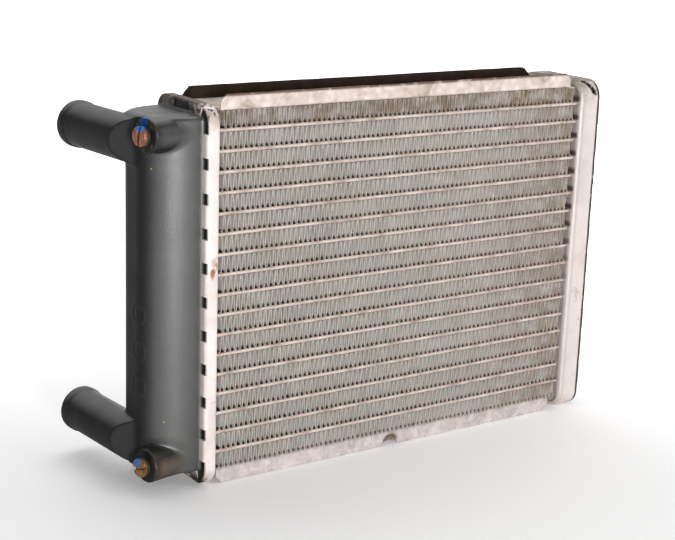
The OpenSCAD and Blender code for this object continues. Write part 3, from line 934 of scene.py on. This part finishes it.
def tray_profile(depth, side):
    """(x from the floor, distance inwards, normal x, normal inwards), and the tab root's place."""
    root = depth - 1.0
    profile = [(0, 2.6, -1, 0), (0, FLOOR_BEND, -1, 0)]
    for angle in np.linspace(0, math.pi / 2, 5)[1:]:
        c, s = math.cos(angle), math.sin(angle)
        profile.append((FLOOR_BEND - FLOOR_BEND * c, FLOOR_BEND - FLOOR_BEND * s, -c, -s))
    for x in np.linspace(FLOOR_BEND, root, 4 if side < 0 else 7)[1:]:
        profile.append((x, 0, 0, -1))
    root_index = len(profile) - 1
    for angle in np.linspace(0, math.pi / 2, 5)[1:]:
        c, s = math.cos(angle), math.sin(angle)
        profile.append((depth - TAB_BEND + TAB_BEND * s, TAB_BEND - TAB_BEND * c, s, -c))
    for inwards in np.linspace(TAB_BEND, TAB_LIP, 3)[1:]:
        profile.append((depth, inwards, 1, 0))
    return np.array(profile, float), root, root_index


def tray_mask(path, profile, root_index, half_y, half_z, centre_z, side):
    """Cells to keep: all of the wall, and the rim only where there is a tab."""
    middles = (path + np.roll(path, -1, 0)) / 2
    keep = np.ones((len(path), len(profile) - 1), bool)
    below, above = profile[:-1, 0], profile[1:, 0]
    for i, (y, z) in enumerate(middles[:, :2]):
        if abs(abs(y) - half_y) < 0.02:
            tab = any(abs(z + centre_z - tab_z) < 5.0 for tab_z in TAB_ZS)
        elif abs(abs(z) - half_z) < 0.02:
            tab = abs(y) < 4.4 or abs(y) > 7.05
        else:
            tab = abs(y) < 17.6 and abs(z) > half_z - 3
        if not tab:
            keep[i, root_index:] = False
        # torn slit round the front top corner of the right tray
        corner_y, corner_z = -(half_y - TRAY_CORNER), half_z - TRAY_CORNER
        if side > 0 and y < corner_y and z > corner_z:
            # 90 degrees at the top, 0 at the front
            angle = math.degrees(math.atan2(z - corner_z, -(y - corner_y)))
            if 8 < angle < 72:
                slit_x = 4.9 + (72 - angle) / 64 * 4.6
                torn = (below >= FLOOR_BEND - 0.01) & (below <= slit_x) & (slit_x < above)
                keep[i, torn] = False
    return keep


def press_tabs(grid, path, root, root_index, half_y, half_z, centre_z, side):
    """Press each tab a little differently."""
    for i, (y, z) in enumerate(path[:, :2]):
        if abs(abs(y) - half_y) < 0.02:
            tab = round((z + centre_z - TAB_MIDDLE_Z) / TAB_PITCH - 0.5)
        else:
            tab = int(y // 6) + 40
        rim = grid[i, root_index + 1:]
        rim[:, 0] -= abs(0.22 * (hash01(tab, 3 + side) - 0.5))
        if abs(z) <= half_z - 4 or abs(y) >= 18:
            continue
        # short sides: outer tabs roll over hard, the left tray's top middle one is half open
        middle_tab = abs(y) < 4.6
        if middle_tab and z > 0 and side < 0:
            dx, dz = rim[:, 0] - root, rim[:, 2] - half_z
            c, s = math.cos(0.75), math.sin(0.75)
            rim[:, 0] = root + (dx * c + dz * s) * 0.8
            rim[:, 2] = half_z + np.minimum(-dx * s + dz * c, 0.0) * 0.9
        elif not middle_tab:
            rim[1:, 0] -= 0.3
            inwards = half_z - abs(rim[1:, 2])
            rim[1:, 2] = np.sign(z) * (half_z - inwards * 1.28)


def tray_wall(lo, hi, floor_x, side):
    _, half_y, half_z = (hi - lo) / 2
    _, centre_y, centre_z = (hi + lo) / 2
    path = tray_path(half_y, half_z, centre_z)
    profile, root, root_index = tray_profile(hi[0] - lo[0], side)
    wobble = 0.10 * noise1(np.arange(len(path)) * 0.37, 5 + side)
    grids = []
    for offset in (0.0, TRAY_THICKNESS):
        grid = np.empty((len(path), len(profile), 3))
        for j, (x, inwards, normal_x, normal_in) in enumerate(profile):
            shift = inwards - normal_in * offset
            wob = wobble * (x > FLOOR_BEND)
            grid[:, j, 0] = x - normal_x * offset
            for k in (0, 1):
                outward = path[:, k + 2]
                grid[:, j, k + 1] = path[:, k] - outward * shift - outward * wob * 0.5
        press_tabs(grid, path, root, root_index, half_y, half_z, centre_z, side)
        grid[..., 0] = floor_x + side * grid[..., 0]
        grid[..., 1] += centre_y
        grid[..., 2] += centre_z
        grids.append(grid)
    outer, inner = grids
    keep = tray_mask(path, profile, root_index, half_y, half_z, centre_z, side)
    if side < 0:
        outer, inner, keep = outer[::-1], inner[::-1], np.roll(keep[::-1], -1, 0)
    return shell(outer, inner, keep, wrap=True)


def tray_floor(lo, hi, floor_x, side):
    """Flat sheet with a slot for each tube and its corners cut, as a grid of cells."""
    half_y, half_z = 21.25, 82.5
    corner_y, corner_z = 19.6, 80.9
    slot_half_y, slot_half_z = 21.1, 0.85
    centre_y, centre_z = ((hi + lo) / 2)[1:]
    ys = [-half_y, half_y, -corner_y, corner_y, *np.linspace(-slot_half_y, slot_half_y, 9)]
    zs = [-half_z, half_z, -corner_z, corner_z]
    for k in range(TUBES):
        tube_z = MIDDLE_TUBE_Z + (k - 8) * TUBE_PITCH - centre_z
        zs += [tube_z - slot_half_z, tube_z + slot_half_z]
    ys, zs = np.unique(np.round(ys, 4)), np.unique(np.round(zs, 4))
    y, z = np.meshgrid((ys[:-1] + ys[1:]) / 2, (zs[:-1] + zs[1:]) / 2, indexing="ij")
    from_middle = z + centre_z - MIDDLE_TUBE_Z
    from_tube = np.abs(from_middle - TUBE_PITCH * np.round(from_middle / TUBE_PITCH))
    slots = (np.abs(y) < slot_half_y) & (from_tube < 0.8) & (np.abs(from_middle) < 73)
    mask = ~slots & ~((np.abs(y) > corner_y) & (np.abs(z) > corner_z))
    y, z = np.meshgrid(ys, zs, indexing="ij")
    outer = np.stack([0 * y + floor_x, y + centre_y, z + centre_z], -1)
    inner = outer + np.array([side * TRAY_THICKNESS, 0, 0])
    if side > 0:
        outer, inner, mask = outer[::-1], inner[::-1], mask[::-1]
    return shell(outer, inner, mask)


def header(name, node, side):
    lo, hi = box_mm(node)
    floor_x = hi[0] if side < 0 else lo[0]
    wall, wall_faces = tray_wall(lo, hi, floor_x, side)
    floor, floor_faces = tray_floor(lo, hi, floor_x, side)
    piece = add_piece(name, np.concatenate([wall, floor]),
                      np.concatenate([wall_faces, floor_faces + len(wall)]),
                      MATERIALS["header"], node, angle=38)
    add_bevel(piece, width=0.22, angle=55)


header("left_tray", "left_header", side=-1)
header("right_tray", "right_header", side=1)


# ------------------------------------------------------------------ inlet and outlet tank
FOOT = (22.55, 83.85, 7.35)            # half depth, half height, corner radius
FOOT_INSET = 0.92                      # foot's outer face, in from the tray's rim
FOOT_X = LEFT_LO[0] + FOOT_INSET
TANK_BOTTOM_Z, TANK_TOP_Z = 6.8, 165.3
WALL = 2.2
CHAMBER_BOTTOM_Z, CHAMBER_TOP_Z = 9.0, 163.1
PARTITION_Z, PARTITION_HALF = MIDDLE_TUBE_Z + TUBE_PITCH / 2, 1.25
STUB_RADIUS, STUB_BORE, STUB_END = 10.0, 7.8, 51.2
STUB_MOUNT = 48.15                     # from the start of the stub's axis to its mount
STUBS = []                             # (start, axis)
for mount_name in ("upper_hose_stub", "lower_hose_stub"):
    stub_axis = unit(MOUNTS[mount_name]["axis"])
    stub_start = np.array(MOUNTS[mount_name]["pos_m"]) / MM - stub_axis * STUB_MOUNT
    STUBS.append((stub_start, stub_axis))


def d_section(x, y, inset):
    """First-order distance to the D section shrunk by inset."""
    axis_x, axis_y = D_DEPTH - inset, D_ROUND_Y - inset
    v = np.maximum(SHOULDER_X - x, 0) / axis_x
    u = np.maximum(np.abs(y) - FLAT_HALF_Y, 0) / axis_y
    radius = np.sqrt(u * u + v * v) + 1e-9
    slope = np.sqrt((v / axis_x) ** 2 + (u / axis_y) ** 2) / radius + 1e-9
    return np.where((u == 0) & (v == 0), -9.0, np.clip((radius - 1) / slope, -9, 60))


def tank_field(points):
    x, y, z = points[:, 0], points[:, 1] - CORE_Y, points[:, 2]
    middle_z = (TANK_BOTTOM_Z + TANK_TOP_Z) / 2
    half_z = (TANK_TOP_Z - TANK_BOTTOM_Z) / 2
    body = smax(d_section(x, y, 0.0), np.abs(z - middle_z) - half_z, 2.6)
    body = smax(body, x - (FOOT_X + 1.0), 0.3)
    foot = smax(rounded_rect(y, z - TRAY_Z, *FOOT), slab_distance(x, FOOT_X, FOOT_X + 3.2), 0.5)
    solid = smin(body, foot, 1.6)
    stubs = [axis_frame(points, start, axis) for start, axis in STUBS]
    bosses = [boss_frame(points, centre) for centre in BOSSES]
    # slanted plane that trims the stubs' roots
    slant = math.radians(50)
    trim = (x - FLAT_X) * -math.cos(slant) + (y + FLAT_HALF_Y) * -math.sin(slant)
    for along, radius in stubs:
        groove = 0.12 * np.exp(-((along - 40.2) / 0.45) ** 2)
        bead = 0.55 * smooth_step(46.1, 46.9, along)
        stub = smax(radius - (STUB_RADIUS - groove + bead), slab_distance(along, -8, STUB_END), 1.0)
        solid = smin(solid, smax(stub, trim, 0.7), 1.8)
    for out, _, _, radius in bosses:
        solid = smin(solid, smax(radius - 7.6, slab_distance(out, -23.0, 0.0), 1.1), 1.2)
    # two chambers, one each side of the partition, that leave the bosses' cores standing
    cavity = smax(d_section(x, y, WALL), x - (FOOT_X + 6), 0.5)
    chambers = []
    for low, high in ((CHAMBER_BOTTOM_Z, PARTITION_Z - PARTITION_HALF),
                      (PARTITION_Z + PARTITION_HALF, CHAMBER_TOP_Z)):
        chamber = smax(cavity, slab_distance(z, low, high), 1.2)
        for out, _, _, radius in bosses:
            chamber = smax(chamber, -np.maximum(radius - 5.0, -out - 16.0), 0.8)
        chambers.append(chamber)
    solid = np.maximum(solid, -np.minimum(*chambers))
    for along, radius in stubs:
        flare = 0.5 * smooth_step(50.0, STUB_END, along)
        solid = smax(solid, -np.maximum(radius - STUB_BORE - flare, 7.5 - along), 0.4)
    for out, _, _, radius in bosses:
        solid = np.maximum(solid, -np.maximum(radius - 3.0, -out - 17.0))
    return solid


verts, faces = nets(tank_field, TANK_LO - 2.5, TANK_HI + 2.5, 0.72)
add_piece("inlet_tank_moulding", verts, faces, MATERIALS["tank"], "inlet_outlet_tank")

# plain round mould marks low on the front edge of the flat
MARK_ZS = (79.3, 62.8, 46.7)
MARK_RADIUS, MARK_SINK, MARK_POINTS = 5.6, 0.35, 40
MARK_HEIGHTS = np.array([0.20, 0.17, 0.02, 0.02, 0.02, 0.03, 0.20, 0.21, 0.0])  # from its centre


def mould_mark(number, z):
    tangent = math.radians(72)
    up = np.array([0, 0, 1.0])
    along = np.array([math.cos(tangent), -math.sin(tangent), 0])
    centre = np.array([FLAT_X + 0.2, FLAT_FRONT_Y + 0.2, z])
    rings = len(MARK_HEIGHTS)
    disc = np.array([centre + radius * (math.cos(angle) * along + math.sin(angle) * up)
                     for angle in np.linspace(0, 2 * math.pi, MARK_POINTS, endpoint=False)
                     for radius in np.linspace(0, MARK_RADIUS, rings)])
    base = onto(tank_field, disc, 4, 1.0)
    normal = gradient(tank_field, base)
    normal /= np.linalg.norm(normal, axis=1)[:, None]
    top = base + normal * np.tile(MARK_HEIGHTS, MARK_POINTS)[:, None]
    low = base - normal * MARK_SINK
    shape = (MARK_POINTS, rings, 3)
    verts, faces = shell(low.reshape(shape), top.reshape(shape), wrap=True)
    add_piece(f"mould_mark_{number}", verts, faces, MATERIALS["tank"],
              angle=60, weld=0.001)


for number, mark_z in enumerate(MARK_ZS, 1):
    mould_mark(number, mark_z)


# ------------------------------------------------------------------ return tank
def return_field(points):
    x, y, z = points[:, 0], points[:, 1] - CORE_Y, points[:, 2] - TRAY_Z
    start, end = RETURN_LO[0], RETURN_HI[0]
    foot = smax(rounded_rect(y, z, *FOOT), slab_distance(x, start, RIGHT_HI[0] - FOOT_INSET), 0.8)
    cap = smax(rounded_rect(y, z, 19.4, 80.6, 5.0), slab_distance(x, start + 2, end), 2.4)
    cavity = smax(rounded_rect(y, z, 17.2, 78.4, 3.0), x - (end - WALL), 1.5)
    return np.maximum(smin(foot, cap, 1.0), -cavity)


verts, faces = nets(return_field, RETURN_LO - 2.5, RETURN_HI + 2.5, 0.8)
add_piece("return_tank_moulding", verts, faces, MATERIALS["tank"], "return_tank")


# ------------------------------------------------------------------ seal strip
def seal_strip():
    """Foam bar along x whose top slopes down at both ends."""
    lo, hi = box_mm("seal_strip")
    xs = np.unique(np.concatenate([np.linspace(lo[0], hi[0], 130),
                                   lo[0] + np.linspace(0, 4.2, 9),
                                   hi[0] - np.linspace(0, 4.2, 9)]))
    middle, half, r = (lo[1] + hi[1]) / 2, (hi[1] - lo[1]) / 2, 0.9
    quarter = np.linspace(0, math.pi / 2, 5)
    # section (y, v): v of 0 or over 0.01 counts up from the base, any other from the top
    section = [(-half, 0.0), (-half, 1.3), (-half, 2.6), (-half, 3.5)]
    section += [(-half + r - r * math.cos(a), -r + r * math.sin(a)) for a in quarter]
    section += [(-half * 0.3, 0.001), (half * 0.3, 0.001)]
    section += [(half - r + r * math.sin(a), -r + r * math.cos(a)) for a in quarter]
    section += [(half, 3.5), (half, 2.6), (half, 1.3), (half, 0.0),
                (half * 0.3, 0.0), (-half * 0.3, 0.0)]
    verts = []
    for x in xs:
        end = min(x - lo[0], hi[0] - x)
        slope = 3.4 if x < 0 else 3.6
        top = min(hi[2], lo[2] + 0.6 + (hi[2] - lo[2] - 0.6) * end / slope)
        top -= 0.06 * (1 + float(noise1(x * 0.12, 61)))
        squeeze = 1 - 0.10 * max(0.8 - end, 0) / 0.8
        for y, v in section:
            z = min(lo[2] + v if v > 0.01 or v == 0.0 else top + v, top)
            wobble = 0.10 * float(noise1(x * 0.2, 62 + (y > 0))) * (v != 0.0)
            verts.append((x, middle + y * squeeze + wobble, z))
    count = len(section)
    faces = []
    for start in range(0, (len(xs) - 1) * count, count):
        for j in range(count):
            a, b = start + j, start + (j + 1) % count
            faces.append((a, b, b + count, a + count))
    faces.append(tuple(range(count - 1, -1, -1)))
    faces.append(tuple(range((len(xs) - 1) * count, len(xs) * count)))
    verts = np.array(verts)
    verts[:, 1] = np.clip(verts[:, 1], lo[1], hi[1])
    piece = add_piece("seal_foam_strip", verts, faces, MATERIALS["foam"],
                      "seal_strip", angle=45)
    bm = bmesh.new()
    bm.from_mesh(piece.data)
    bmesh.ops.recalc_face_normals(bm, faces=bm.faces)
    bm.to_mesh(piece.data)
    bm.free()


seal_strip()

# ------------------------------------------------------------------ screws
HEAD_SEAT, HEAD_FACE, HEAD_RADIUS = 1.24, 3.64, 4.3    # the first two out from the boss face
SLOT_HALF, SLOT_DEPTH = 0.8, 1.6
SHANK_RADIUS, SHANK_END, THREAD_HEIGHT = 2.86, -12.7, 0.10


def screw(name, node, centre, turn, material):
    """Slotted screw with a thread of 1 mm pitch; turn is the slot's angle in degrees."""
    lo, hi = box_mm(node)
    turn = math.radians(turn)

    def field(points):
        out, across, up, radius = boss_frame(points, centre)
        head = smax(radius - HEAD_RADIUS, slab_distance(out, HEAD_SEAT, HEAD_FACE), 0.9)
        off_slot = np.abs(across * math.cos(turn) + up * math.sin(turn))
        cut = np.maximum(off_slot - SLOT_HALF, HEAD_FACE - SLOT_DEPTH - out)
        head = smax(head, -cut, 0.3)
        turns = out + np.arctan2(up, across) / (2 * math.pi)
        thread = THREAD_HEIGHT * np.cos(2 * math.pi * turns) * smooth_step(-1.2, -2.4, out)
        shank = smax(radius - (SHANK_RADIUS + thread),
                     np.maximum(SHANK_END - out, out - HEAD_SEAT - 1), 0.5)
        return smin(head, shank, 0.3)

    verts, faces = nets(field, lo - 1.0, hi + 1.0, 0.2)
    add_piece(name, verts, faces, material, node, body=node)


screw("bleed_screw_copper", "bleed_screw", BLEED, 8, MATERIALS["copper"])
screw("drain_screw_brass", "drain_screw", DRAIN, 70, MATERIALS["brass"])
dress("bleed_o_ring", rubber_material("bleed_ring_rubber_with_paint", dark=20, painted=True))
for name in ("drain_o_ring", "left_gasket", "right_gasket"):
    dress(name, MATERIALS["rubber"])

# ------------------------------------------------------------------ floor, world, lights, camera
scene = bpy.context.scene


def floor_material():
    """Pale floor that glows towards white behind the object."""
    nodes = new_material("pale_floor")
    color = nodes.ramp(nodes.noise(scale=2.0, detail=2, rough=0.5),
                       (0.3, (0.86, 0.86, 0.87)), (0.7, (0.88, 0.88, 0.88)))
    behind = nodes.vector("DOT_PRODUCT", nodes.place, (0.56, 0.83, 0.0))["Value"]
    glow = nodes.times(nodes.rise(behind, span=(-0.10, 0.5)), 0.95)
    nodes.set_input("Emission Color", (1.0, 0.995, 0.985))
    nodes.set_input("Emission Strength", nodes.math("ADD", 0.12, glow))
    return nodes.finish(color, rough=0.7, specular=0.2)


def add_floor():
    """Flat floor in three strips, in metres, turned to lie along the view."""
    material = floor_material()
    away_x, away_y = math.sin(0.6), math.cos(0.6)
    verts = [(away_x * away + away_y * side, away_y * away - away_x * side, 0.0)
             for away in (-8.0, -1.0, 1.0, 8.0) for side in (-9.0, 9.0)]
    faces = [(2 * i, 2 * i + 1, 2 * i + 3, 2 * i + 2) for i in range(3)]
    mesh = bpy.data.meshes.new("studio_floor")
    mesh.from_pydata(verts, [], faces)
    mesh.polygons.foreach_set("use_smooth", np.ones(len(faces), bool))
    mesh.materials.append(material)
    floor = bpy.data.objects.new("studio_floor", mesh)
    scene.collection.objects.link(floor)


def add_world():
    """White surroundings, brighter behind and to the right."""
    world = bpy.data.worlds.new("studio")
    nodes = Nodes(world, "Generated")
    background = nodes.tree.nodes["Background"]
    toward = nodes.vector("DOT_PRODUCT", nodes.place, (0.62, 0.74, 0.25))["Value"]
    background.inputs[0].default_value = (1, 1, 1, 1)
    nodes.put(background.inputs[1], nodes.rise(toward, span=(-0.25, 0.75), low=0.24, high=0.9))
    scene.world = world


# name, place and target in metres, size in metres, power in watts
LIGHTS = (
    ("main_low_front", (-0.62, -1.82, 0.27), (-0.05, 0, 0.09), (0.30, 0.46), 33),
    ("fill_right", (1.0, -1.5, 1.3), (0, 0, 0.08), (0.9, 0.7), 6),
    ("top_soft", (0.2, 0.5, 1.6), (0, 0, 0.08), (1.2, 1.2), 7),
)


def add_light(name, place, target, size, power):
    light = bpy.data.lights.new(name, "AREA")
    light.shape = "RECTANGLE"
    light.size, light.size_y = size
    light.energy = power
    lamp = bpy.data.objects.new(name, light)
    lamp.location = place
    lamp.rotation_mode = "QUATERNION"
    lamp.rotation_quaternion = (Vector(target) - Vector(place)).to_track_quat("-Z", "Y")
    scene.collection.objects.link(lamp)


CAMERA_PLACE = (-0.408645, -0.540068, 0.266652)        # metres
YAW, PITCH, ROLL = 0.600583, 0.261818, 0.034949        # radians; yaw from +Y, pitch downwards


def add_camera():
    lens = bpy.data.cameras.new("camera")
    lens.sensor_width = 36.0
    lens.lens = 79.738133333
    lens.clip_start, lens.clip_end = 0.05, 50
    camera = bpy.data.objects.new("camera", lens)
    ahead = Vector((math.sin(YAW) * math.cos(PITCH), math.cos(YAW) * math.cos(PITCH),
                    -math.sin(PITCH)))
    level = Vector((math.cos(YAW), -math.sin(YAW), 0))
    upright = level.cross(ahead)
    right = level * math.cos(ROLL) + upright * math.sin(ROLL)
    up = -level * math.sin(ROLL) + upright * math.cos(ROLL)
    pose = Matrix.Identity(4)
    for row in range(3):
        pose[row] = (right[row], up[row], -ahead[row], CAMERA_PLACE[row])
    camera.matrix_world = pose
    scene.collection.objects.link(camera)
    scene.camera = camera


add_floor()
add_world()
for light_row in LIGHTS:
    add_light(*light_row)
add_camera()
scene.view_settings.view_transform = "Standard"
